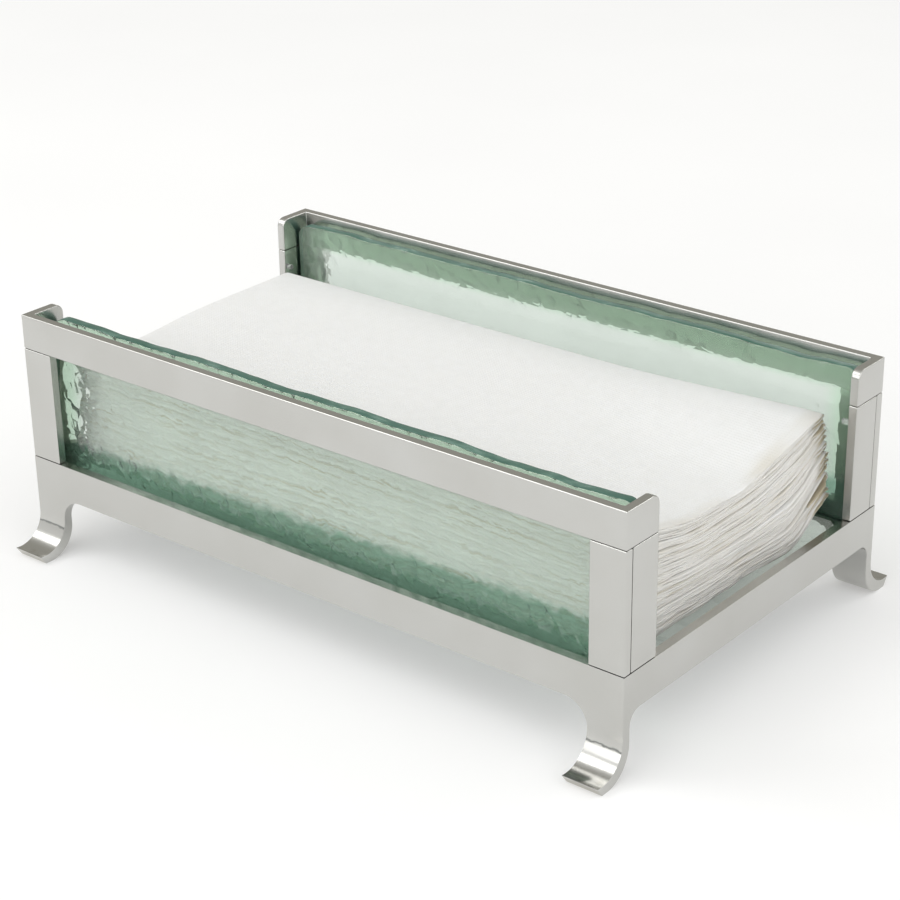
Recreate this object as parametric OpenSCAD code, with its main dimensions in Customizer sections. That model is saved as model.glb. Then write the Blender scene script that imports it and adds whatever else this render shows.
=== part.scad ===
// Open-top caddy that dispenses folded paper guest towels.
// A polished metal frame on four flared feet holds two loose green glass panes along
// its long sides and a clear glass floor under the towels.
// Millimetres. +X runs along the caddy, -Y is its front, +Z is up.
// The origin lies on the table, under the middle of the caddy.

/* [Frame] */
// Length of the frame, over its end plates
frame_l = 236; // [200:1:260]
// Width of the frame, over its long plates
frame_w = 134; // [126:1:150]
// Thickness of every flat metal plate
plate_t = 3; // [2.5:0.1:3.5]
// Height of the base rails
base_h = 12; // [11:0.5:14]
// Height of the window between a base rail and a top rail
window_h = 38; // [34:1:44]
// Height of the top rails
rail_h = 11.5; // [9:0.5:14]
// Width of a stile, seen from the front
post_w = 12; // [10:0.5:14]
// Depth of the corner returns and flanges, from the outer face
return_w = 15; // [14:0.5:18]
// Radius of the free upper corner of each return
return_r = 3; // [1:0.5:4]

/* [Legs] */
// Height of the legs, from the table to the base rails
leg_h = 20.2; // [19.8:0.1:20.6]
// Straight part of a leg, above its curl
shank_h = 7.8; // [7.6:0.1:8.2]
// Radius of a curl's underside
curl_outer_r = 10.6; // [10:0.1:11]
// Radius of a curl's hollow upper side
curl_inner_r = 9.6; // [9.2:0.1:9.8]
// How far the tip of a foot stands out from the long rail
foot_reach = 11.6; // [10.8:0.1:12.2]
// How far the blunt end of a foot is cut back under its tip
foot_undercut = 2.2; // [1.6:0.1:2.4]
// How much of the underside of a foot is worn flat
foot_wear = 0.1; // [0.08:0.01:0.12]
// Radius of the web between a leg and its long rail
side_fillet_r = 8; // [5:0.5:8]
// Radius of the web between a leg and its end rail
end_fillet_r = 4.5; // [3:0.5:6]

/* [Floor] */
// Height of the ledge's top above the bottom of the base rails
ledge_z = 7.8; // [7:0.1:8.5]
// Thickness of the ledge strips
ledge_t = 1.5; // [1:0.1:2]
// Width of the ledge along each long side, which a pane stands on
ledge_side_w = 7.2; // [7.2:0.1:9]
// Width of the ledge along each end
ledge_end_w = 4; // [3:0.5:5]
// Chamfer across the inner corners of the ledge
ledge_chamfer = 2.2; // [1:0.1:4]
// Thickness of the glass floor
floor_t = 4; // [3:0.1:4.2]
// Length of the clips that hold the glass floor up
clip_l = 12; // [8:1:20]
// Depth of the clips
clip_w = 6; // [4:1:10]
// Thickness of the clips
clip_t = 1; // [0.8:0.1:1.2]

/* [Panes] */
// Thickness of a side pane
pane_t = 4; // [3.5:0.1:4.5]
// How far a side pane's top lies below the top rail's
pane_drop = 2.5; // [1.5:0.5:5]
// Gap between a side pane's end and the corner flange
pane_end_gap = 0.7; // [0.5:0.1:1.2]
// Radius of a side pane's corners
pane_r = 4.5; // [2:0.5:6]
// Gap between the front plates and the foot of the front pane
front_foot_gap = 3.2; // [2:0.1:3.2]
// Gap between the front top rail and the top of the front pane, which leans inwards
front_top_gap = 6.8; // [5:0.1:6.8]
// Gap between the back plates and the back pane, which stands upright
back_gap = 1.4; // [1:0.1:3.2]
// Radius of the clear bumpers that stop a pane tipping inwards
bumper_r = 0.9; // [0.7:0.05:0.9]
// Length of the bumpers
bumper_l = 2.2; // [1.5:0.1:3]
// Height of the bumpers above the bottom of the base rails
bumper_z = 44; // [40:1:45]

/* [Towels] */
// Width of a folded towel
towel_w = 101.6; // [95:0.1:102]
// Distance from the middle of the frame to the left end of the towels
towel_left = 112.5; // [100:0.5:113]
// Distance from the middle of the frame to the right end of the top towel
towel_right = 104; // [95:0.5:105]
// How far the lower towels fan out past the top one
towel_fan = 5; // [2:0.5:7]
// How far the towels lie towards the back
towel_back = 0.7; // [0:0.1:1]
// Height of the towels under the top one
stack_h = 35.7; // [10:0.1:36]
// Thickness of the top towel
top_towel_t = 1.5; // [1:0.1:2]

/* [Hidden] */

$fn = 64;
eps = 1;                                    // overshoot of a cutting tool
web_share = 0.95;                           // part of a web's radius that it spans
tip_overrun = 1.1;                          // blunt end drawn past the hollow that cuts it
metal = "silver";
glass = "darkseagreen";
clear = "whitesmoke";
paper = "white";

half_l = frame_l / 2;
half_w = frame_w / 2;
base_top = leg_h + base_h;
window_top = base_top + window_h;
frame_top = window_top + rail_h;
inner_half_l = half_l - plate_t;
inner_half_w = half_w - plate_t;

ledge_top = leg_h + ledge_z;
floor_top = ledge_top - ledge_t;
floor_play = 0.5;                           // gap round the glass floor
ledge_play = 0.2;                           // gap between the towels and the ledge
clip_inset = 40;                            // distance from the frame's end to a clip

pane_l = 2 * (inner_half_l - pane_end_gap);
pane_h = frame_top - pane_drop - ledge_top;
bumper_clearance = 0.3;

stack_top = floor_top + stack_h;
fan_share = [0.7, 1, 0.65];                 // fan-out at the foot, a quarter and two thirds up
fan_height = [0, 0.25, 0.65];

// Copies the front left corner's children to the corner on side sx, sy
module corner(sx, sy) {
    if (sx > 0) mirror([1, 0, 0]) corner(-1, sy) children();
    else if (sy > 0) mirror([0, 1, 0]) corner(-1, -1) children();
    else children();
}

// Extrudes an outline drawn in Y and Z along +X
module along_x(length) {
    rotate([90, 0, 90]) linear_extrude(length) children();
}

module cylinder_x(r, length) {
    rotate([0, 90, 0]) cylinder(r = r, h = length);
}

module cylinder_y(r, length) {
    rotate([-90, 0, 0]) cylinder(r = r, h = length);
}

module base_rail_long(sy) {
    color(metal) corner(-1, sy)
        translate([-half_l, -half_w, leg_h]) cube([frame_l, plate_t, base_h]);
}

module base_rail_end(sx) {
    color(metal) corner(sx, -1)
        translate([-half_l, -inner_half_w, leg_h])
            cube([plate_t, 2 * inner_half_w, base_h]);
}

// Flared foot that continues the shank outwards in a hollow curve to a blunt tip
module curl() {
    curl_z = leg_h - shank_h;
    shank_y = -half_w + plate_t;
    under_y = shank_y - curl_outer_r;
    under_z = curl_outer_r - foot_wear;
    hollow_y = -half_w - curl_inner_r;
    tip_y = -half_w - foot_reach;
    tip_z = curl_z - sqrt(pow(curl_inner_r, 2) - pow(foot_reach - curl_inner_r, 2));
    heel_y = tip_y + foot_undercut;
    over_y = heel_y - tip_overrun * foot_undercut;
    difference() {
        union() {
            intersection() {
                translate([-half_l, under_y, under_z]) cylinder_x(curl_outer_r, post_w);
                translate([-half_l, under_y, 0]) cube([post_w, curl_outer_r + eps, under_z]);
            }
            translate([-half_l, 0, 0]) along_x(post_w) polygon([
                [under_y, 0],
                [under_y, under_z],
                [shank_y, under_z],
                [shank_y, curl_z],
                [over_y, curl_z],
                [over_y, tip_overrun * tip_z],
                [heel_y, 0]
            ]);
        }
        translate([-half_l - eps, hollow_y, curl_z])
            cylinder_x(curl_inner_r, post_w + 2 * eps);
    }
}

// Webs that blend a leg into the long rail and into the end rail
module side_web() {
    web = side_fillet_r * web_share;
    difference() {
        translate([-half_l + post_w, -half_w, leg_h - web]) cube([web, plate_t, web]);
        translate([-half_l + post_w + side_fillet_r, -half_w - eps, leg_h - side_fillet_r])
            cylinder_y(side_fillet_r, plate_t + 2 * eps);
    }
}

module end_web() {
    web = end_fillet_r * web_share;
    difference() {
        translate([-half_l, -inner_half_w, leg_h - web]) cube([plate_t, web, web]);
        translate([-half_l - eps, -inner_half_w + end_fillet_r, leg_h - end_fillet_r])
            cylinder_x(end_fillet_r, plate_t + 2 * eps);
    }
}

module leg(sx, sy) {
    color(metal) corner(sx, sy) {
        translate([-half_l, -half_w, leg_h - shank_h]) cube([post_w, plate_t, shank_h]);
        curl();
        side_web();
        end_web();
    }
}

// Strip along a long side, with a small gusset in each inner corner
module ledge_side(sy) {
    end_x = inner_half_l;
    opening_x = inner_half_l - ledge_end_w;
    edge_y = -inner_half_w + ledge_side_w;
    color(metal) corner(-1, sy) translate([0, 0, floor_top]) linear_extrude(ledge_t)
        polygon([
            [-end_x, -inner_half_w],
            [end_x, -inner_half_w],
            [end_x, edge_y],
            [opening_x, edge_y],
            [opening_x, edge_y + ledge_chamfer],
            [opening_x - ledge_chamfer, edge_y],
            [-opening_x + ledge_chamfer, edge_y],
            [-opening_x, edge_y + ledge_chamfer],
            [-opening_x, edge_y],
            [-end_x, edge_y]
        ]);
}

module ledge_end(sx) {
    length = 2 * (inner_half_w - ledge_side_w);
    color(metal) corner(sx, -1)
        translate([-inner_half_l, -length / 2, floor_top])
            cube([ledge_end_w, length, ledge_t]);
}

module floor_pane() {
    size_x = 2 * (inner_half_l - floor_play);
    size_y = 2 * (inner_half_w - floor_play);
    color(clear) translate([-size_x / 2, -size_y / 2, floor_top - floor_t])
        cube([size_x, size_y, floor_t]);
}

// Four flat clips fixed to the long rails, under the glass floor
module floor_clips() {
    clip_z = floor_top - floor_t - clip_t;
    color(metal) for (sx = [-1, 1], sy = [-1, 1]) corner(sx, sy)
        translate([-half_l + clip_inset, -inner_half_w, clip_z])
            cube([clip_l, clip_w, clip_t]);
}

module stile(sx, sy) {
    color(metal) corner(sx, sy)
        translate([-half_l, -half_w, base_top]) cube([post_w, plate_t, window_h]);
}

module flange(sx, sy) {
    color(metal) corner(sx, sy)
        translate([-half_l, -inner_half_w, base_top])
            cube([plate_t, return_w - plate_t, window_h]);
}

// Return of a top rail: an end tab whose free upper corner is rounded
module return_tab() {
    translate([-half_l, -half_w, window_top]) {
        cube([plate_t, return_w - return_r, rail_h]);
        cube([plate_t, return_w, rail_h - return_r]);
        translate([0, return_w - return_r, rail_h - return_r]) cylinder_x(return_r, plate_t);
    }
}

module top_rail(sy) {
    color(metal) corner(-1, sy) {
        translate([-half_l, -half_w, window_top]) cube([frame_l, plate_t, rail_h]);
        return_tab();
        mirror([1, 0, 0]) return_tab();
    }
}

// Upright rectangle with rounded corners, thick along Y
module rounded_panel(thickness) {
    x = pane_l / 2;
    translate([-x, 0, ledge_top + pane_r]) cube([pane_l, thickness, pane_h - 2 * pane_r]);
    translate([-x + pane_r, 0, ledge_top]) cube([pane_l - 2 * pane_r, thickness, pane_h]);
    for (sx = [-1, 1], z = [pane_r, pane_h - pane_r])
        translate([sx * (x - pane_r), 0, ledge_top + z]) cylinder_y(pane_r, thickness);
}

module pane_front() {
    foot_y = -inner_half_w + front_foot_gap;
    top_y = -inner_half_w + front_top_gap;
    color(glass) intersection() {
        translate([-half_l, 0, 0]) along_x(frame_l) polygon([
            [foot_y, ledge_top],
            [foot_y + pane_t, ledge_top],
            [top_y + pane_t, ledge_top + pane_h],
            [top_y, ledge_top + pane_h]
        ]);
        translate([0, -inner_half_w, 0]) rounded_panel(front_top_gap + pane_t + eps);
    }
}

module pane_back() {
    color(glass) translate([0, inner_half_w - back_gap - pane_t, 0]) rounded_panel(pane_t);
}

// Four clear dots on the flanges, just inside the free edge
module pane_bumpers() {
    lean = (front_top_gap - front_foot_gap) * (bumper_z - ledge_z) / pane_h;
    pane_y = -inner_half_w + front_foot_gap + lean + pane_t;
    color(clear) for (sx = [-1, 1], sy = [-1, 1]) corner(sx, sy)
        translate([-inner_half_l, pane_y + bumper_clearance + bumper_r, leg_h + bumper_z])
            cylinder_x(bumper_r, bumper_l);
}

module towel_stack() {
    foot_x = -inner_half_l + ledge_end_w + ledge_play;
    fan = [for (i = [0:2])
        [towel_right + towel_fan * fan_share[i], floor_top + stack_h * fan_height[i]]];
    color(paper) translate([0, towel_w / 2 + towel_back, 0]) rotate([90, 0, 0])
        linear_extrude(towel_w)
            polygon([
                [foot_x, floor_top],
                fan[0], fan[1], fan[2],
                [towel_right, stack_top],
                [-towel_left, stack_top],
                [-towel_left, ledge_top + ledge_play],
                [foot_x, ledge_top + ledge_play]
            ]);
}

module top_towel() {
    color(paper) translate([-towel_left, -towel_w / 2 + towel_back, stack_top])
        cube([towel_left + towel_right, towel_w, top_towel_t]);
}

base_rail_long(-1);  // base_rail_front
base_rail_long(1);  // base_rail_back
base_rail_end(-1);  // base_rail_left
base_rail_end(1);  // base_rail_right
leg(-1, -1);  // leg_front_left
leg(1, -1);  // leg_front_right
leg(-1, 1);  // leg_back_left
leg(1, 1);  // leg_back_right
ledge_side(-1);  // ledge_front
ledge_side(1);  // ledge_back
ledge_end(-1);  // ledge_left
ledge_end(1);  // ledge_right
floor_pane();
floor_clips();
stile(-1, -1);  // stile_front_left
stile(1, -1);  // stile_front_right
stile(-1, 1);  // stile_back_left
stile(1, 1);  // stile_back_right
flange(-1, -1);  // flange_front_left
flange(1, -1);  // flange_front_right
flange(-1, 1);  // flange_back_left
flange(1, 1);  // flange_back_right
top_rail(-1);  // top_rail_front
top_rail(1);  // top_rail_back
pane_front();
pane_back();
pane_bumpers();
towel_stack();
top_towel();
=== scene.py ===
import math

import bmesh
import bpy
import numpy as np
from mathutils import Matrix, Vector, noise


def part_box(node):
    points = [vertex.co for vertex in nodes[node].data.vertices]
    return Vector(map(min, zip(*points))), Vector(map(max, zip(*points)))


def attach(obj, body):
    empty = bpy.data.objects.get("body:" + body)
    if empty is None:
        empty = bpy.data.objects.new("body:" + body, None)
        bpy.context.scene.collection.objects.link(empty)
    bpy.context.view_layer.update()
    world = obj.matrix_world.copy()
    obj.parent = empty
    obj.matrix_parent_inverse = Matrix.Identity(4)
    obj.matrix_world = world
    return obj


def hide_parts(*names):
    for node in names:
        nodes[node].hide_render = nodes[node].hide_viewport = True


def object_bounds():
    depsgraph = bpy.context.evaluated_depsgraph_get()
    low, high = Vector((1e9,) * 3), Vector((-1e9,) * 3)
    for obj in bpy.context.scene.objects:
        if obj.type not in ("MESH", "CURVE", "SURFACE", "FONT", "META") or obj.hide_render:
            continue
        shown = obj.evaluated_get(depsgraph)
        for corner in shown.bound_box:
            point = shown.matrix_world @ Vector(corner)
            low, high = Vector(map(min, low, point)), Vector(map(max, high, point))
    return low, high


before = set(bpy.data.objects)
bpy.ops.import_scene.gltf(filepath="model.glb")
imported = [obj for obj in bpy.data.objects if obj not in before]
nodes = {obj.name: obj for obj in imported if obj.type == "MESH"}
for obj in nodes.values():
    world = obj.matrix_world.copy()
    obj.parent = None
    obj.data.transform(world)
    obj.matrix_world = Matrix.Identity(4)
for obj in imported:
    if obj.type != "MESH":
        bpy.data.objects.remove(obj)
cad_lo, cad_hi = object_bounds()

MM = 0.001
# The mesh attribute that carries the painted shade in the towels' creases, fold loops and the gaps
# between their layers.
CREASE_SHADE = "crease"
# Where a leg's flat runs into the curve of its foot, and where the bright polish ends.
FOOT_CREASE = 12.4 * MM
POLISH_TOP = 9.3 * MM

# ---------------------------------------------------------------- camera

CAMERA_LENS = 90.0
CAMERA_AZIMUTH = math.radians(39.61)
CAMERA_ELEVATION = math.radians(24.45)
CAMERA_ROLL = math.radians(-0.92)
CAMERA_DISTANCE = 712 * MM
CAMERA_OFFSET = Vector((2.4, 1.2, 1.95)) * MM


def make_camera():
    data = bpy.data.cameras.new("camera")
    data.lens = CAMERA_LENS
    data.sensor_width = 36
    data.clip_start = 0.01
    data.clip_end = 50
    cam = bpy.data.objects.new("camera", data)
    bpy.context.scene.collection.objects.link(cam)
    level = math.cos(CAMERA_ELEVATION)
    back = Vector((
        math.sin(CAMERA_AZIMUTH) * level,
        -math.cos(CAMERA_AZIMUTH) * level,
        math.sin(CAMERA_ELEVATION),
    ))
    target = (cad_lo + cad_hi) / 2 + CAMERA_OFFSET
    cam.location = target + back * CAMERA_DISTANCE
    cam.rotation_mode = "QUATERNION"
    look = (-back).to_track_quat("-Z", "Y")
    roll = Matrix.Rotation(CAMERA_ROLL, 3, "Z").to_quaternion()
    cam.rotation_quaternion = look @ roll
    bpy.context.scene.camera = cam


make_camera()

# ---------------------------------------------------------------- materials


class Material:
    """A node material with a Principled shader, and short calls to add nodes to it."""

    def __init__(self, name):
        self.mat = bpy.data.materials.new(name)
        self.mat.use_nodes = True
        self.tree = self.mat.node_tree
        self.tree.nodes.clear()
        self.out = self.add("OutputMaterial")
        self.bsdf = self.add("BsdfPrincipled")
        self.join(self.bsdf, "BSDF", self.out, "Surface")
        self.place = self.add("TexCoord")

    def add(self, kind, **settings):
        node = self.tree.nodes.new("ShaderNode" + kind)
        for key, value in settings.items():
            setattr(node, key, value)
        return node

    def socket(self, node, name):
        """The input with this name that the node's settings leave in use."""
        return [x for x in node.inputs if x.enabled and x.name == name][0]

    def join(self, source, output, target, socket):
        outs = [x for x in source.outputs if x.enabled and x.name == output]
        ins = self.socket(target, socket) if isinstance(socket, str) else target.inputs[socket]
        self.tree.links.new(outs[0], ins)

    def set(self, **values):
        for key, value in values.items():
            self.bsdf.inputs[key.replace("_", " ")].default_value = value

    def noise(self, scale, detail=4.0, rough=0.5, stretch=None, distortion=0.0):
        node = self.add("TexNoise")
        node.inputs["Scale"].default_value = scale
        node.inputs["Detail"].default_value = detail
        node.inputs["Roughness"].default_value = rough
        node.inputs["Distortion"].default_value = distortion
        if stretch is None:
            self.join(self.place, "Object", node, "Vector")
        else:
            mapping = self.add("Mapping")
            mapping.inputs["Scale"].default_value = stretch
            self.join(self.place, "Object", mapping, "Vector")
            self.join(mapping, "Vector", node, "Vector")
        return node

    def ramp(self, source, output, stops):
        node = self.add("ValToRGB")
        elements = node.color_ramp.elements
        while len(elements) < len(stops):
            elements.new(0.5)
        for element, (position, colour) in zip(elements, stops):
            element.position = position
            element.color = (*colour, 1)
        self.join(source, output, node, "Fac")
        return node

    def span(self, source, output, low, high, start=0.3, end=0.7):
        node = self.add("MapRange")
        node.inputs["From Min"].default_value = start
        node.inputs["From Max"].default_value = end
        node.inputs["To Min"].default_value = low
        node.inputs["To Max"].default_value = high
        self.join(source, output, node, "Value")
        return node

    def toward(self, source, output, tone, share, share_output):
        """Mixes a colour with one tone, as far as share says."""
        node = self.add("Mix", data_type="RGBA")
        self.socket(node, "B").default_value = (*tone, 1)
        self.join(share, share_output, node, "Factor")
        self.join(source, output, node, "A")
        return node

    def bump(self, source, output, strength, distance, after=None):
        node = self.add("Bump")
        node.inputs["Strength"].default_value = strength
        node.inputs["Distance"].default_value = distance
        self.join(source, output, node, "Height")
        if after is not None:
            self.join(after, "Normal", node, "Normal")
        return node


def satin_metal():
    """Polished light metal: satin on the flats, bright on the curve of each foot, with painted
    reflection lines on the outer face of the feet: a dark line of painted shade high on the
    curve, a grey line lower down and a beige band at the toe."""
    m = Material("satin_metal")
    leg_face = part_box("base_rail_back")[1].y
    m.set(Metallic=1.0)
    cloud = m.noise(32, detail=4, rough=0.5)
    colour = m.ramp(cloud, "Fac", [
        (0.28, (0.530, 0.526, 0.502)),
        (0.50, (0.555, 0.552, 0.530)),
        (0.74, (0.580, 0.580, 0.562)),
    ])
    height = m.add("SeparateXYZ")
    m.join(m.place, "Object", height, "Vector")
    wobble = m.span(m.noise(380, detail=2), "Fac", -0.35 * MM, 0.35 * MM)
    level = m.add("Math", operation="ADD")
    m.join(height, "Z", level, 0)
    m.join(wobble, "Result", level, 1)
    scaled = m.span(level, "Value", 0.0, 1.0, start=0.0, end=2 * POLISH_TOP)
    white = (1, 1, 1)
    shade_line_dark = (0.34, 0.36, 0.36)
    reflection_line_grey = (0.62, 0.63, 0.63)
    toe_beige = (0.80, 0.78, 0.72)
    # Painted reflection lines on the outer face of the feet, by height: a beige band at the toe, a grey
    # line on the curve, and a dark line of painted shade at POLISH_TOP, below where the flat meets the
    # curve.
    painted_reflection_lines = m.ramp(scaled, "Result", [
        (0.115, toe_beige), (0.150, white),
        (0.245, white), (0.265, reflection_line_grey), (0.285, white),
        (0.475, white), (0.500, shade_line_dark), (0.525, white),
    ])
    facing = m.add("NewGeometry")
    side = m.add("SeparateXYZ")
    m.join(facing, "Normal", side, "Vector")
    across = m.add("Math", operation="ABSOLUTE")
    m.join(side, "X", across, 0)
    front = m.span(across, "Value", 1.0, 0.0, start=0.2, end=0.5)
    depth = m.add("Math", operation="ABSOLUTE")
    m.join(height, "Y", depth, 0)
    outside = m.span(depth, "Value", 0.0, 1.0, start=leg_face - 0.5 * MM, end=leg_face - 0.3 * MM)
    shown = m.add("Math", operation="MULTIPLY")
    m.join(front, "Result", shown, 0)
    m.join(outside, "Result", shown, 1)
    reflection_painted = m.add("Mix", data_type="RGBA", blend_type="MULTIPLY")
    m.join(shown, "Value", reflection_painted, "Factor")
    m.join(colour, "Color", reflection_painted, "A")
    m.join(painted_reflection_lines, "Color", reflection_painted, "B")
    m.join(reflection_painted, "Result", m.bsdf, "Base Color")
    grain = m.noise(1, detail=2, rough=0.5, stretch=(60, 240, 240))
    satin = m.span(grain, "Fac", 0.21, 0.27)
    polished = m.span(
        height, "Z", 0.0, 1.0, start=POLISH_TOP - 0.3 * MM, end=POLISH_TOP + 0.3 * MM
    )
    rough = m.add("Mix", data_type="FLOAT")
    m.join(polished, "Result", rough, "Factor")
    rough.inputs["A"].default_value = 0.17
    m.join(satin, "Result", rough, "B")
    m.join(rough, "Result", m.bsdf, "Roughness")
    dents = m.noise(150, detail=2)
    fine = m.bump(dents, "Fac", 0.10, 0.15 * MM)
    ripple = m.noise(45, detail=1)
    coarse = m.bump(ripple, "Fac", 0.04, 0.12 * MM, after=fine)
    m.join(coarse, "Normal", m.bsdf, "Normal")
    return m.mat


def glass_edge():
    """The ground edge of the green glass, where the colour is deep."""
    m = Material("green_glass_edge")
    cloud = m.noise(90, detail=4, rough=0.6, stretch=(1, 2.5, 2.5))
    colour = m.ramp(cloud, "Fac", [
        (0.30, (0.040, 0.120, 0.088)),
        (0.52, (0.075, 0.165, 0.130)),
        (0.74, (0.180, 0.300, 0.250)),
    ])
    m.join(colour, "Color", m.bsdf, "Base Color")
    rough = m.span(cloud, "Fac", 0.12, 0.30)
    m.join(rough, "Result", m.bsdf, "Roughness")
    m.set(IOR=1.5, Specular_IOR_Level=0.35)
    chips = m.bump(m.noise(420, detail=3), "Fac", 0.5, 0.15 * MM)
    m.join(chips, "Normal", m.bsdf, "Normal")
    return m.mat


# Painted green shade of the glass where it covers the frame, and painted shade of the dark band along
# its foot, where the shaded floor and ledge show through.
FRAME_SHADE_GREEN = (0.70, 0.87, 0.73)
FOOT_SHADE_GREEN = (0.34, 0.53, 0.43)
# The painted shade band's height in the middle of the pane, how much it rises along X, how far
# its ragged line swings and how soft that line is.
BAND_HEIGHT = 7 * MM
BAND_SLOPE = 0.02
BAND_SWING = 7 * MM
BAND_BLUR = 0.9 * MM


def rim_share(m, half_x, low_z, high_z):
    """1 near the edges of a frame's opening and beyond them, 0 in its middle."""
    spot = m.add("SeparateXYZ")
    m.join(m.place, "Object", spot, "Vector")
    side = m.add("Math", operation="ABSOLUTE")
    m.join(spot, "X", side, 0)
    ends = m.span(side, "Value", 0.0, 1.0, start=half_x - 12 * MM, end=half_x - 6 * MM)
    foot = m.span(spot, "Z", 1.0, 0.0, start=low_z + 4 * MM, end=low_z + 9 * MM)
    head = m.span(spot, "Z", 0.0, 1.0, start=high_z - 2 * MM, end=high_z)
    first = m.add("Math", operation="MAXIMUM")
    m.join(ends, "Result", first, 0)
    m.join(foot, "Result", first, 1)
    both = m.add("Math", operation="MAXIMUM")
    m.join(first, "Value", both, 0)
    m.join(head, "Result", both, 1)
    return both


def foot_shade_share(m, low_z):
    """Share of the painted shade band: 1 along the foot of a frame's opening, up to a ragged
    leaning line, and 0 above it.
    """
    spot = m.add("SeparateXYZ")
    m.join(m.place, "Object", spot, "Vector")
    ragged = m.noise(220, detail=4, rough=0.6)
    rough_z = m.add("Math", operation="MULTIPLY_ADD")
    m.join(ragged, "Fac", rough_z, 0)
    rough_z.inputs[1].default_value = BAND_SWING
    m.join(spot, "Z", rough_z, 2)
    leaning = m.add("Math", operation="MULTIPLY_ADD")
    m.join(spot, "X", leaning, 0)
    leaning.inputs[1].default_value = -BAND_SLOPE
    m.join(rough_z, "Value", leaning, 2)
    line = low_z + BAND_SWING / 2 + BAND_HEIGHT
    return m.span(leaning, "Value", 1.0, 0.0, start=line - BAND_BLUR, end=line + BAND_BLUR)


def glass(name, milk, milkiness, tint, density, wave, cell, rim=None):
    """Cast glass with dimpled faces. Lamps and the sky reach through it to what is behind.
    milk is the pale cast of the melt and milkiness its share. rim gives a frame's opening:
    its half length, its foot and its head. Round it the dimples are deepest; the glass gets a
    painted green shade over the frame and a painted shade band along the foot."""
    m = Material(name)
    m.set(IOR=1.5, Transmission_Weight=1.0 - milkiness)
    cloud = m.noise(70, detail=3, rough=0.55)
    shades = [tuple(min(1.0, c * k) for c in milk) for k in (0.97, 1.0, 1.03)]
    colour = m.ramp(cloud, "Fac", list(zip((0.30, 0.50, 0.70), shades)))
    m.join(colour, "Color", m.bsdf, "Base Color")
    gloss = m.span(cloud, "Fac", 0.0, 0.02)
    m.join(gloss, "Result", m.bsdf, "Roughness")
    bend = m.noise(0.55 / cell, detail=1)
    shifted = m.add("VectorMath", operation="MULTIPLY_ADD")
    m.join(bend, "Color", shifted, 0)
    shifted.inputs[1].default_value = (cell, cell, cell)
    m.join(m.place, "Object", shifted, 2)
    cells = m.add("TexVoronoi", feature="F1")
    cells.inputs["Scale"].default_value = 1 / cell
    m.join(shifted, "Vector", cells, "Vector")
    dish = m.add("Math", operation="MULTIPLY")
    m.join(cells, "Distance", dish, 0)
    m.join(cells, "Distance", dish, 1)
    swell = m.bump(m.noise(0.4 / cell, detail=2), "Fac", 1.0, wave * 0.3)
    dimple = m.bump(dish, "Value", 1.0, wave, after=swell)
    if rim is not None:
        border = rim_share(m, *rim)
        strength = m.span(border, "Value", 0.34, 1.0, start=0.0, end=1.0)
        m.join(strength, "Result", dimple, "Strength")
        half_x, low_z, high_z = rim
        # Painted shade: greener, darker glass where the pane covers the frame, and a darker ragged band
        # along its foot, where the shaded floor and ledge show through.
        over = rim_share(m, half_x + 8 * MM, low_z - 20 * MM, high_z + 2 * MM)
        green = m.toward(colour, "Color", FRAME_SHADE_GREEN, over, "Value")
        deep = m.toward(green, "Result", FOOT_SHADE_GREEN, foot_shade_share(m, low_z), "Result")
        m.join(deep, "Result", m.bsdf, "Base Color")
    m.join(dimple, "Normal", m.bsdf, "Normal")
    through = m.add("BsdfTransparent")
    through.inputs["Color"].default_value = (0.97, 0.985, 0.975, 1)
    rays = m.add("LightPath")
    switch = m.add("MixShader")
    m.join(rays, "Is Shadow Ray", switch, "Fac")
    m.join(m.bsdf, "BSDF", switch, 1)
    m.join(through, "BSDF", switch, 2)
    m.join(switch, "Shader", m.out, "Surface")
    body = m.add("VolumeAbsorption")
    body.inputs["Color"].default_value = (*tint, 1)
    body.inputs["Density"].default_value = density
    m.join(body, "Volume", m.out, "Volume")
    return m.mat


def bumper_plastic():
    """Clear, slightly frosted silicone."""
    m = Material("bumper_plastic")
    m.set(IOR=1.45, Transmission_Weight=0.85)
    cloud = m.noise(400, detail=3)
    colour = m.ramp(cloud, "Fac", [(0.3, (0.86, 0.87, 0.86)), (0.7, (0.94, 0.95, 0.94))])
    m.join(colour, "Color", m.bsdf, "Base Color")
    rough = m.span(cloud, "Fac", 0.12, 0.22)
    m.join(rough, "Result", m.bsdf, "Roughness")
    return m.mat


# Painted shade: the tone of shade and bounced light inside the towels' folds and between their layers.
CREASE_SHADE_TONE = (0.54, 0.47, 0.33)


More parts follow.
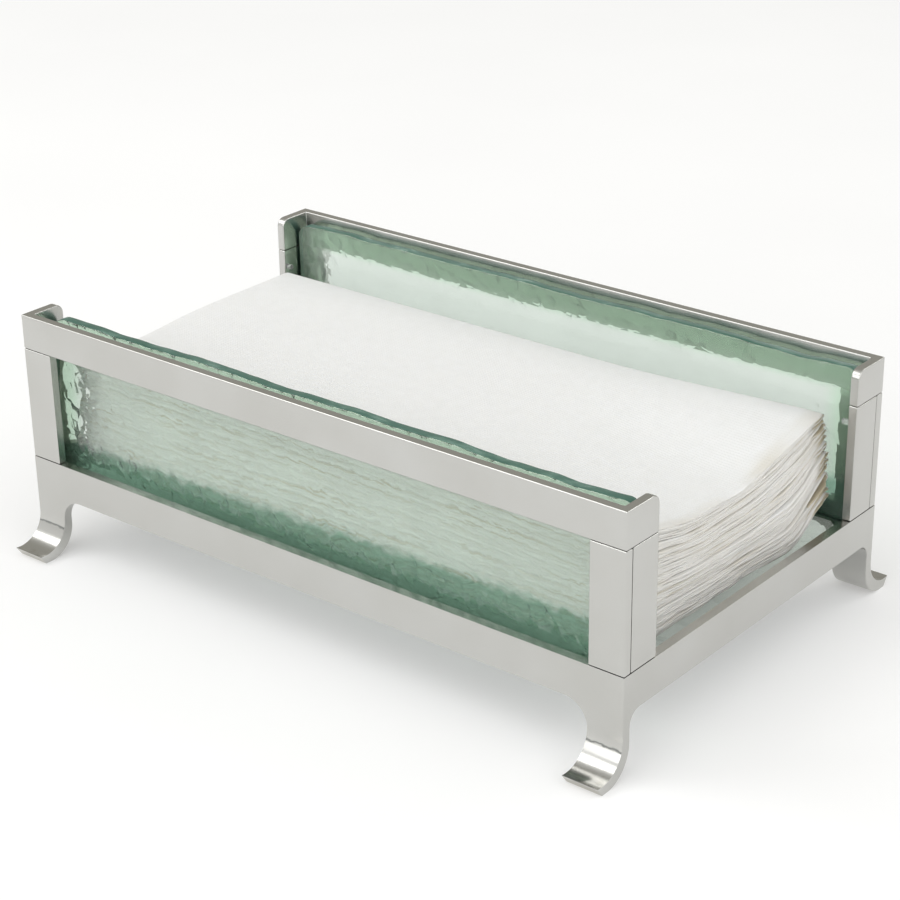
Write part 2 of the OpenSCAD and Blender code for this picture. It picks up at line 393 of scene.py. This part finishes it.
def towel_paper():
    """Soft white paper with a fine linen emboss, a faint mottle and painted warm shade in the creases
    and between the layers.
    """
    m = Material("towel_paper")
    m.set(Sheen_Weight=0.15, Sheen_Roughness=0.6, Specular_IOR_Level=0.15)
    m.set(Subsurface_Weight=0.25, Subsurface_Scale=1.6 * MM)
    m.set(Subsurface_Radius=(1.0, 0.92, 0.78))
    mottle = m.noise(240, detail=6, rough=0.65)
    colour = m.ramp(mottle, "Fac", [
        (0.30, (0.835, 0.832, 0.815)),
        (0.50, (0.850, 0.847, 0.832)),
        (0.70, (0.862, 0.860, 0.847)),
    ])
    crease = m.add("Attribute", attribute_name=CREASE_SHADE)
    warm = m.toward(colour, "Color", CREASE_SHADE_TONE, crease, "Fac")
    m.join(warm, "Result", m.bsdf, "Base Color")
    rough = m.span(mottle, "Fac", 0.85, 1.0)
    m.join(rough, "Result", m.bsdf, "Roughness")
    heights = []
    for direction in ("X", "Y"):
        wave = m.add("TexWave", wave_type="BANDS", bands_direction=direction)
        wave.inputs["Scale"].default_value = 290
        wave.inputs["Distortion"].default_value = 1.6
        wave.inputs["Detail"].default_value = 2
        wave.inputs["Detail Scale"].default_value = 1.5
        m.join(m.place, "Object", wave, "Vector")
        heights.append(wave)
    weave = m.add("Math", operation="MULTIPLY")
    m.join(heights[0], "Fac", weave, 0)
    m.join(heights[1], "Fac", weave, 1)
    emboss = m.bump(weave, "Value", 0.6, 0.10 * MM)
    fibre = m.bump(mottle, "Fac", 0.4, 0.06 * MM, after=emboss)
    m.join(fibre, "Normal", m.bsdf, "Normal")
    return m.mat


def floor_paint():
    """Pale studio table, lit softly from below as well, so that shadows stay light."""
    m = Material("studio_floor")
    cloud = m.noise(6, detail=2)
    colour = m.ramp(cloud, "Fac", [(0.3, (0.66, 0.66, 0.66)), (0.7, (0.68, 0.68, 0.68))])
    m.join(colour, "Color", m.bsdf, "Base Color")
    m.set(Roughness=0.9, Specular_IOR_Level=0.1, Emission_Strength=0.30)
    m.bsdf.inputs["Emission Color"].default_value = (1, 1, 1, 1)
    return m.mat


METAL = satin_metal()
OPENING = (
    -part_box("stile_front_left")[1].x,
    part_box("base_rail_front")[1].z,
    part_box("top_rail_front")[0].z,
)
GREEN_GLASS = glass(
    "green_glass", (0.865, 0.905, 0.88), 0.13, (0.36, 0.53, 0.40), 70.0,
    0.5 * MM, 4.0 * MM, rim=OPENING,
)
CLEAR_GLASS = glass(
    "clear_glass", (0.88, 0.90, 0.88), 0.05, (0.52, 0.64, 0.55), 95.0, 0.3 * MM, 9.0 * MM
)
GLASS_EDGE = glass_edge()
BUMPER = bumper_plastic()
PAPER = towel_paper()

# ---------------------------------------------------------------- pieces


def new_object(name, mesh, material):
    ob = bpy.data.objects.new(name, mesh)
    bpy.context.scene.collection.objects.link(ob)
    mesh.materials.clear()
    mesh.materials.append(material)
    return ob


def node_mesh(names):
    """One welded mesh with the faces of these CAD nodes."""
    bm = bmesh.new()
    for name in names:
        bm.from_mesh(nodes[name].data)
    bmesh.ops.remove_doubles(bm, verts=bm.verts, dist=0.002 * MM)
    mesh = bpy.data.meshes.new("welded")
    bm.to_mesh(mesh)
    bm.free()
    return mesh


def apply_modifiers(ob):
    graph = bpy.context.evaluated_depsgraph_get()
    mesh = bpy.data.meshes.new_from_object(ob.evaluated_get(graph))
    ob.modifiers.clear()
    old = ob.data
    ob.data = mesh
    bpy.data.meshes.remove(old)


def flatten(ob, angle=0.4):
    """Joins coplanar triangles to whole faces, so that a bevel runs along real edges."""
    bm = bmesh.new()
    bm.from_mesh(ob.data)
    bmesh.ops.remove_doubles(bm, verts=bm.verts, dist=0.002 * MM)
    bmesh.ops.dissolve_limit(
        bm, angle_limit=math.radians(angle), verts=bm.verts, edges=bm.edges
    )
    bm.to_mesh(ob.data)
    bm.free()


def mark_crease(ob, level):
    """Keeps the edges at this height crisp, where a flat runs into a curve."""
    spots = ob.data.vertices
    for edge in ob.data.edges:
        if all(abs(spots[i].co.z - level) < 0.05 * MM for i in edge.vertices):
            edge.use_edge_sharp = True


def soften(ob, width, segments=3, crease=None):
    """Rounds the real edges of a metal piece by width."""
    flatten(ob)
    if crease is not None:
        mark_crease(ob, crease)
    ob.data.polygons.foreach_set("use_smooth", [True] * len(ob.data.polygons))
    bevel = ob.modifiers.new("edges", "BEVEL")
    bevel.width = width
    bevel.segments = segments
    bevel.limit_method = "ANGLE"
    bevel.angle_limit = math.radians(32)
    bevel.miter_outer = "MITER_ARC"
    normals = ob.modifiers.new("normals", "WEIGHTED_NORMAL")
    normals.mode = "FACE_AREA"
    normals.weight = 60
    normals.keep_sharp = True
    apply_modifiers(ob)


def metal_piece(name, node, width, seam=(0, 0, 0), keep=(0, 0, 0)):
    """A copy of one CAD node with softened edges, which stands for that node.
    seam opens a fine joint line at its ends along each axis. keep is +1 or -1 for an end
    that stays."""
    mesh = node_mesh([node])
    low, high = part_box(node)
    for vertex in mesh.vertices:
        for axis in range(3):
            side = -1 if vertex.co[axis] < (low[axis] + high[axis]) / 2 else 1
            if side != keep[axis]:
                vertex.co[axis] -= side * seam[axis]
    ob = new_object(name, mesh, METAL)
    soften(ob, width)
    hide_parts(node)
    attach(ob, "frame")


SIDES = ("front", "back")
ENDS = ("left", "right")


def make_base():
    """Base rails and legs, joined smoothly into one piece."""
    rails = [f"base_rail_{side}" for side in SIDES + ENDS]
    legs = [f"leg_{side}_{end}" for side in SIDES for end in ENDS]
    names = rails + legs
    ob = new_object("base_casting", node_mesh(names[:1]), METAL)
    others = []
    for name in names[1:]:
        other = new_object("cut", node_mesh([name]), METAL)
        others.append(other)
        join = ob.modifiers.new(name, "BOOLEAN")
        join.operation = "UNION"
        join.solver = "EXACT"
        join.object = other
    apply_modifiers(ob)
    for other in others:
        bpy.data.objects.remove(other)
    soften(ob, 0.45 * MM, crease=FOOT_CREASE)
    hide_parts(*names)
    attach(ob, "frame")


make_base()

# Fine joint lines above and below the uprights, and a wider one between the plates.
SEAM = 0.14 * MM
PLATE_SEAM = SEAM * 2.4
for side in SIDES:
    metal_piece(f"top_rail_{side}_bent", f"top_rail_{side}", 0.4 * MM)
    inward = 1 if side == "front" else -1
    for end in ENDS:
        metal_piece(
            f"stile_{side}_{end}_plate", f"stile_{side}_{end}", 0.32 * MM,
            seam=(0, 0, SEAM),
        )
        metal_piece(
            f"flange_{side}_{end}_plate", f"flange_{side}_{end}", 0.32 * MM,
            seam=(0, PLATE_SEAM, SEAM), keep=(0, inward, 0),
        )
for name in ("ledge_front", "ledge_back", "ledge_left", "ledge_right", "floor_clips"):
    nodes[name].data.materials.clear()
    nodes[name].data.materials.append(METAL)
nodes["pane_bumpers"].data.materials.clear()
nodes["pane_bumpers"].data.materials.append(BUMPER)


def wave_height(x, y, seed, sizes):
    """Sum of smooth noises at x, y. sizes holds a wavelength and a height for each."""
    total = 0.0
    for i, (length, height) in enumerate(sizes):
        spot = Vector((x / length, y / length, seed * 7.3 + i * 3.1))
        total += height * noise.noise(spot)
    return total


def rounded(a, b, half_a, half_b, radius):
    """Moves a point of a rectangle into the same rectangle with rounded corners."""
    over_a = abs(a) - (half_a - radius)
    over_b = abs(b) - (half_b - radius)
    if over_a <= 0 or over_b <= 0:
        return a, b
    pull = max(over_a, over_b) / math.hypot(over_a, over_b)
    return (
        math.copysign(half_a - radius + over_a * pull, a),
        math.copysign(half_b - radius + over_b * pull, b),
    )


def slab(name, length, width, thick, cell, radius, waves, seed, edge=None):
    """A closed slab of cast glass, length along X and width along Y, with rippled faces."""
    count_a = max(8, round(length / cell))
    count_b = max(8, round(width / cell))
    columns = count_a + 1
    per_face = columns * (count_b + 1)
    points = []
    for face in (-1, 1):
        for j in range(count_b + 1):
            for i in range(columns):
                a = (i / count_a - 0.5) * length
                b = (j / count_b - 0.5) * width
                a, b = rounded(a, b, length / 2, width / 2, radius)
                ripple = wave_height(a, b, seed + face, waves)
                share = j / count_b
                if edge is not None:
                    b += share ** 6 * wave_height(a, 0, seed + 5, edge)
                points.append((a, b, face * thick / 2 + ripple))
    faces = []
    for j in range(count_b):
        for i in range(count_a):
            corner = j * columns + i
            quad = (corner, corner + 1, corner + columns + 1, corner + columns)
            faces.append(tuple(reversed(quad)))
            faces.append(tuple(per_face + k for k in quad))
    ring = list(range(count_a))
    ring += [j * columns + count_a for j in range(count_b)]
    ring += [count_b * columns + i for i in range(count_a, 0, -1)]
    ring += [j * columns for j in range(count_b, 0, -1)]
    for here, there in zip(ring, ring[1:] + ring[:1]):
        faces.append((here, there, per_face + there, per_face + here))
    mesh = bpy.data.meshes.new(name)
    mesh.from_pydata(points, [], faces)
    mesh.polygons.foreach_set("use_smooth", [True] * len(mesh.polygons))
    face_count = 2 * count_a * count_b
    rim = [0] * face_count + [1] * (len(faces) - face_count)
    mesh.polygons.foreach_set("material_index", rim)
    return mesh


def glass_piece(name, mesh, material, bevel, edge_material=None):
    rim = [p.material_index for p in mesh.polygons]
    ob = new_object(name, mesh, material)
    mesh.materials.append(edge_material or material)
    mesh.polygons.foreach_set("material_index", rim)
    edge = ob.modifiers.new("edges", "BEVEL")
    edge.width = bevel
    edge.segments = 3
    edge.limit_method = "ANGLE"
    edge.angle_limit = math.radians(60)
    return ob


PANE_THICK = 4.0 * MM
PANE_RADIUS = 4.5 * MM
PANE_WAVES = ((11 * MM, 0.12 * MM), (3.4 * MM, 0.07 * MM))


def make_pane(side, seed):
    node = f"pane_{side}"
    low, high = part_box(node)
    length, height = high.x - low.x, high.z - low.z
    mesh = slab(
        node, length, height - 0.4 * MM, PANE_THICK - 0.3 * MM, 1.1 * MM, PANE_RADIUS,
        PANE_WAVES, seed, edge=((26 * MM, 0.9 * MM), (9 * MM, 0.35 * MM)),
    )
    lean = (high.y - low.y) - PANE_THICK
    stand = Matrix((
        (1, 0, 0, (low.x + high.x) / 2),
        (0, lean / height, -1, (low.y + high.y) / 2),
        (0, 1, 0, (low.z + high.z) / 2 - 0.2 * MM),
        (0, 0, 0, 1),
    ))
    mesh.transform(stand)
    ob = glass_piece(f"{node}_cast", mesh, GREEN_GLASS, 0.6 * MM, GLASS_EDGE)
    apply_modifiers(ob)
    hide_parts(node)
    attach(ob, f"{side}_glass")


def make_floor():
    low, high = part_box("floor_pane")
    mesh = slab(
        "floor", high.x - low.x, high.y - low.y, high.z - low.z - 0.1 * MM, 2.5 * MM,
        1.5 * MM, ((30 * MM, 0.05 * MM), (11 * MM, 0.02 * MM)), 40,
    )
    mesh.transform(Matrix.Translation((low + high) / 2))
    ob = glass_piece("floor_pane_cast", mesh, CLEAR_GLASS, 0.7 * MM)
    apply_modifiers(ob)
    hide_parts("floor_pane")
    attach(ob, "frame")


make_pane("front", 1)
make_pane("back", 2)
make_floor()

# ---------------------------------------------------------------- towels

# The pile of about 26 towels is drawn as 12 thicker ones, to keep the mesh small.
STACK_COUNT = 12
# Layers of a folded towel, the one halfway up, and the drawn height of one layer.
LAYERS = 6
MID_LAYER = 2.5
LAYER_PITCH = 0.42 * MM
PAPER_THICK = 0.22 * MM

stack_lo, stack_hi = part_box("towel_stack")
top_lo, top_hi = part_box("top_towel")
ledge_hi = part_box("ledge_left")[1]


def smooth(t):
    t = np.clip(t, 0, 1)
    return t * t * (3 - 2 * t)


def noise_field(x, y, z, seed):
    """Smooth noise at arrays of points."""
    flat = np.stack([a.ravel() for a in np.broadcast_arrays(x, y, z)], 1)
    values = [noise.noise(Vector(p) + Vector((seed * 5.3, seed * 2.9, 0))) for p in flat]
    return np.array(values).reshape(np.broadcast(x, y, z).shape)


# How the pile departs from a block: its sag, lifted corner, swelling and droop.
SAG_RIGHT = 9.2 * MM
LIFT_CORNER = 10.0 * MM
PUFF_BACK = 3.4 * MM
DROOP_LEFT = 2.2 * MM
# How much the folds of the low towels open at the back right corner, and where.
ROLL_GAIN = 0.085
ROLL_SHARE = 0.20
ROLL_WIDTH = 0.04
ROLLED_COUNT = 3
REACH_BACK = 2.4 * MM


def stack_surface(x, y, share):
    """Height of the towels at x, y, where share runs from the floor, 0, to the top, 1."""
    near_right = smooth((x - 0.018) / 0.088)
    trough = smooth((0.049 - y) / 0.040) * (1 - 0.70 * smooth((-0.009 - y) / 0.036))
    near_left = smooth((-0.086 - x) / 0.026)
    hollow = np.exp(-((y + 0.026) / 0.022) ** 2)
    top = top_hi.z - PAPER_THICK
    top = top - SAG_RIGHT * near_right * trough - DROOP_LEFT * near_left * hollow
    top = top + 1.0 * MM * near_right * smooth((y - 0.04) / 0.012)
    corner = smooth((y - 0.030) / 0.024) * smooth((x - 0.076) / 0.028)
    bottom = stack_lo.z + PAPER_THICK + LIFT_CORNER * corner
    share = open_roll(share, corner)
    middle = np.sin(np.pi * share)
    sway = noise_field(x / 0.045, y / 0.045, share * 2.0, 3)
    return bottom + share * (top - bottom) + 0.7 * MM * sway * middle


def open_roll(share, corner):
    """Gives the low towels more room at the back right corner, where their folds open up."""
    def area(s):
        return s + corner * ROLL_GAIN * erf((s - ROLL_SHARE) / ROLL_WIDTH)

    return (area(share) - area(0 * share)) / (area(0 * share + 1) - area(0 * share))


def erf(t):
    """Close stand-in for the error function, for arrays."""
    return np.tanh(1.202 * t)


def spread(low, high, count, ease):
    """count steps from low to high that get shorter towards high."""
    t = np.linspace(0, 1, count + 1)
    return low + (high - low) * (1 - (1 - t) ** ease)


def fold_path(width, hollow, turn, back_turn):
    """The three thirds of a letter fold as (across, layer) points, cut edge to cut edge."""
    half = width / 2
    third = 34
    first = np.linspace(half - hollow, -half + turn, third)
    middle = np.linspace(-half + turn, half - back_turn, third)
    last = np.linspace(half - back_turn, -half + 0.35 * MM, third)
    angle = np.linspace(0, np.pi, 9)[1:-1]
    front = -half + turn - 0.6 * turn * np.sin(angle)
    front_layer = 1.5 + 1.0 * np.cos(angle)
    back = half - back_turn + back_turn * np.sin(angle)
    back_layer = 2.5 - 2.0 * np.cos(angle)
    across = np.concatenate([first, front, middle, back, last])
    layer = np.concatenate([
        np.full(third, MID_LAYER), front_layer, np.full(third, 0.5), back_layer,
        np.full(third, 4.5),
    ])
    slope_y, slope_l = np.gradient(across / LAYER_PITCH), np.gradient(layer)
    size = np.hypot(slope_y, slope_l)
    return across, layer, -slope_l / size, slope_y / size


def make_towel(name, index, first_share, last_share, body, left_gap=0.0):
    """One towel, folded in half along its length and then in three across its width."""
    rng = np.random.default_rng(100 + index)
    shift_y = rng.uniform(-0.4, 0.4) * MM
    shift_x = rng.uniform(-0.5, 0.5) * MM
    width = (stack_hi.y - stack_lo.y) - 0.8 * MM
    centre = (stack_hi.y + stack_lo.y) / 2
    hollow = rng.uniform(6.0, 8.5) * MM
    turn = 0.75 * MM
    if index < ROLLED_COUNT:
        hollow += 4.0 * MM
    across, layer, normal_y, normal_l = fold_path(width, hollow, turn, 2.6 * turn)
    share_mid = (first_share + last_share) / 2
    left = stack_lo.x + left_gap + 0.3 * MM + rng.uniform(0, 0.8) * MM
    fan = 3.6 * MM * (1 - share_mid) ** 0.8
    right = top_hi.x - 0.8 * MM + fan + shift_x
    ply = spread(left + 0.5 * MM, right, 30, 1.7)
    angle = np.linspace(0, np.pi, 6)[1:-1]
    along = np.concatenate([ply[::-1], left + 0.5 * MM - 0.5 * MM * np.sin(angle), ply])
    offset = np.concatenate([
        np.full(ply.size, 0.5), 0.5 * np.cos(angle), np.full(ply.size, -0.5)
    ])
    end_of = np.concatenate([np.zeros(ply.size), np.zeros(angle.size), np.ones(ply.size)])
    X, S = np.meshgrid(along, np.arange(across.size), indexing="ij")
    S = S.astype(int)
    O = np.broadcast_to(offset[:, None], X.shape)
    E = np.broadcast_to(end_of[:, None], X.shape)
    Y = centre + shift_y + across[S] + O * normal_y[S] * LAYER_PITCH
    back_edge = centre + width / 2
    in_loop = smooth((Y - (back_edge - hollow - 1.0 * MM)) / (2.5 * MM))
    level = layer[S] + O * normal_l[S]
    bend = O * normal_y[S] * (np.abs(layer[S] - MID_LAYER) < 1.95)
    level = level + 0.3 * in_loop * np.sign(level - MID_LAYER) * (1 - 2 * np.abs(O))
    squeeze = 1 - 0.42 * in_loop * (np.abs(layer[S] - MID_LAYER) > 1.9)
    level = layer[S] + (level - layer[S]) * squeeze
    level = level + 0.2 * in_loop * np.sign(layer[S] - MID_LAYER) * (np.abs(layer[S] - MID_LAYER) > 1.9)
    reach = smooth((X - 0.06) / 0.045)
    ragged = noise_field(Y / 0.012, E * 4.0 + level * 0.9, index * 1.7 + 0 * Y, 8)
    rounding = smooth((Y - (back_edge - 5.0 * MM)) / (5.0 * MM))
    X = X + reach * (ragged * 1.0 * MM - rounding * 0.8 * MM)
    X = X + reach * REACH_BACK * smooth((Y - 0.005) / 0.035)
    Y = Y + PUFF_BACK * smooth((X - 0.030) / 0.075) * smooth((Y + 0.02) / 0.07)
    share = first_share + (last_share - first_share) * (0.5 + 0.9 * (level - MID_LAYER) / LAYERS)
    Z = stack_surface(X, Y, share)
    corner = smooth((X - 0.07) / 0.03) * smooth((Y - 0.025) / 0.022)
    ruffle = noise_field(X / 0.008, Y / 0.010, index * 2.3 + 0 * Y, 11)
    Z = Z + corner * ruffle * 0.5 * MM
    count = across.size
    half = width / 2
    # Painted shade, read from the fold: inside the loops at the back, between the outer plies along the
    # front edge, and at the right end of the stack.
    inner = (np.abs(level - MID_LAYER) < 2.15).astype(float)
    near_end = smooth((X - (right - 5.0 * MM)) / (4.0 * MM))
    outer = smooth((np.abs(level - MID_LAYER) - 1.7) / 0.8)
    patchy = 0.55 + 0.9 * noise_field(X / 0.016, Y / 0.016, index * 3.1 + 0 * Y, 21)
    at_front = smooth((centre - half + 2.5 * MM - Y) / (2.0 * MM))
    inside = inner * (1 - smooth(bend / 0.25))
    crease = np.maximum(0.95 * in_loop * inside, 1.1 * outer * at_front * patchy)
    crease = np.maximum(crease, 0.45 * outer * near_end * patchy)
    crease = np.maximum(crease, 0.18 * near_end * (level < 4.7))
    crease = np.maximum(crease, 0.20 * at_front)
    crease = np.clip(crease, 0, 1)
    points = np.stack([X.ravel(), Y.ravel(), Z.ravel()], 1)
    faces = [
        (i * count + j, (i + 1) * count + j, (i + 1) * count + j + 1, i * count + j + 1)
        for i in range(along.size - 1)
        for j in range(count - 1)
    ]
    mesh = bpy.data.meshes.new(name)
    mesh.from_pydata(points.tolist(), [], faces)
    mesh.polygons.foreach_set("use_smooth", [True] * len(mesh.polygons))
    tint = mesh.attributes.new(CREASE_SHADE, "FLOAT", "POINT")
    tint.data.foreach_set("value", crease.ravel().astype(np.float32))
    ob = new_object(name, mesh, PAPER)
    solid = ob.modifiers.new("paper", "SOLIDIFY")
    solid.thickness = PAPER_THICK
    solid.offset = 0
    apply_modifiers(ob)
    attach(ob, body)
    return ob


def make_towels():
    top_share = 0.945
    for i in range(STACK_COUNT):
        low, high = (top_share * (i + k) / STACK_COUNT for k in (0, 1))
        gap = ledge_hi.x - stack_lo.x if i == 0 else 0.0
        name = f"towel_{i + 1:02d}"
        ob = make_towel(name, i, low, high, "towels", left_gap=gap)
        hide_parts("towel_stack")
    ob = make_towel("towel_top", STACK_COUNT, top_share, 1.0, "first_towel")
    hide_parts("top_towel")


make_towels()

# ---------------------------------------------------------------- studio

# Two gradients of the sky: straight up, and towards the dim corner behind the caddy.
SKY_UP = (0.0, 0.0, 1.0)
SKY_UP_STOPS = ((0.0, (0.80, 0.80, 0.78)), (0.35, (0.92, 0.92, 0.91)), (1.0, (1.0, 1.0, 1.0)))
SKY_BACK = (-0.58, 0.70, 0.41)
SKY_BACK_STOPS = ((0.0, (1.0, 1.0, 1.0)), (0.35, (0.90, 0.90, 0.88)), (0.8, (0.46, 0.45, 0.41)))
FLOOR_SIZE = 6.0


def make_studio():
    mesh = bpy.data.meshes.new("studio_floor")
    corners = [(x * FLOOR_SIZE, y * FLOOR_SIZE, 0) for x, y in ((-1, -1), (1, -1), (1, 1), (-1, 1))]
    mesh.from_pydata(corners, [], [(0, 1, 2, 3)])
    ob = new_object("studio_floor", mesh, floor_paint())
    world = bpy.data.worlds.new("studio")
    bpy.context.scene.world = world
    world.use_nodes = True
    tree = world.node_tree
    tree.nodes.clear()
    out = tree.nodes.new("ShaderNodeOutputWorld")
    sky = tree.nodes.new("ShaderNodeBackground")
    place = tree.nodes.new("ShaderNodeTexCoord")
    parts = []
    for direction, stops in ((SKY_UP, SKY_UP_STOPS), (SKY_BACK, SKY_BACK_STOPS)):
        dot = tree.nodes.new("ShaderNodeVectorMath")
        dot.operation = "DOT_PRODUCT"
        dot.inputs[1].default_value = direction
        tree.links.new(place.outputs["Generated"], dot.inputs[0])
        ramp = tree.nodes.new("ShaderNodeValToRGB")
        elements = ramp.color_ramp.elements
        while len(elements) < len(stops):
            elements.new(0.5)
        for element, (position, colour) in zip(elements, stops):
            element.position = position
            element.color = (*colour, 1)
        tree.links.new(dot.outputs["Value"], ramp.inputs["Fac"])
        parts.append(ramp)
    both = tree.nodes.new("ShaderNodeVectorMath")
    both.operation = "MULTIPLY"
    tree.links.new(parts[0].outputs["Color"], both.inputs[0])
    tree.links.new(parts[1].outputs["Color"], both.inputs[1])
    tree.links.new(both.outputs["Vector"], sky.inputs["Color"])
    sky.inputs["Strength"].default_value = 1.0
    tree.links.new(sky.outputs[0], out.inputs["Surface"])

    def area(name, place, aim, size, power):
        data = bpy.data.lights.new(name, "AREA")
        data.shape = "RECTANGLE"
        data.size, data.size_y = size
        data.energy = power
        lamp = bpy.data.objects.new(name, data)
        bpy.context.scene.collection.objects.link(lamp)
        lamp.location = place
        lamp.rotation_mode = "QUATERNION"
        lamp.rotation_quaternion = (Vector(aim) - Vector(place)).to_track_quat("-Z", "Y")

    area("key", (-0.90, -0.64, 1.10), (0, 0, 0.05), (0.8, 0.8), 5.3)
    area("front", (-0.1, -1.4, 0.55), (0, 0, 0.04), (1.2, 0.8), 6.0)
    area("fill", (1.4, -0.2, 0.7), (0, 0, 0.05), (0.9, 0.7), 3.2)
    area("rim", (0.62, 1.06, 0.88), (0, 0, 0.05), (0.5, 0.3), 1.6)
    scene = bpy.context.scene
    scene.view_settings.view_transform = "Standard"
    scene.view_settings.look = "None"


make_studio()
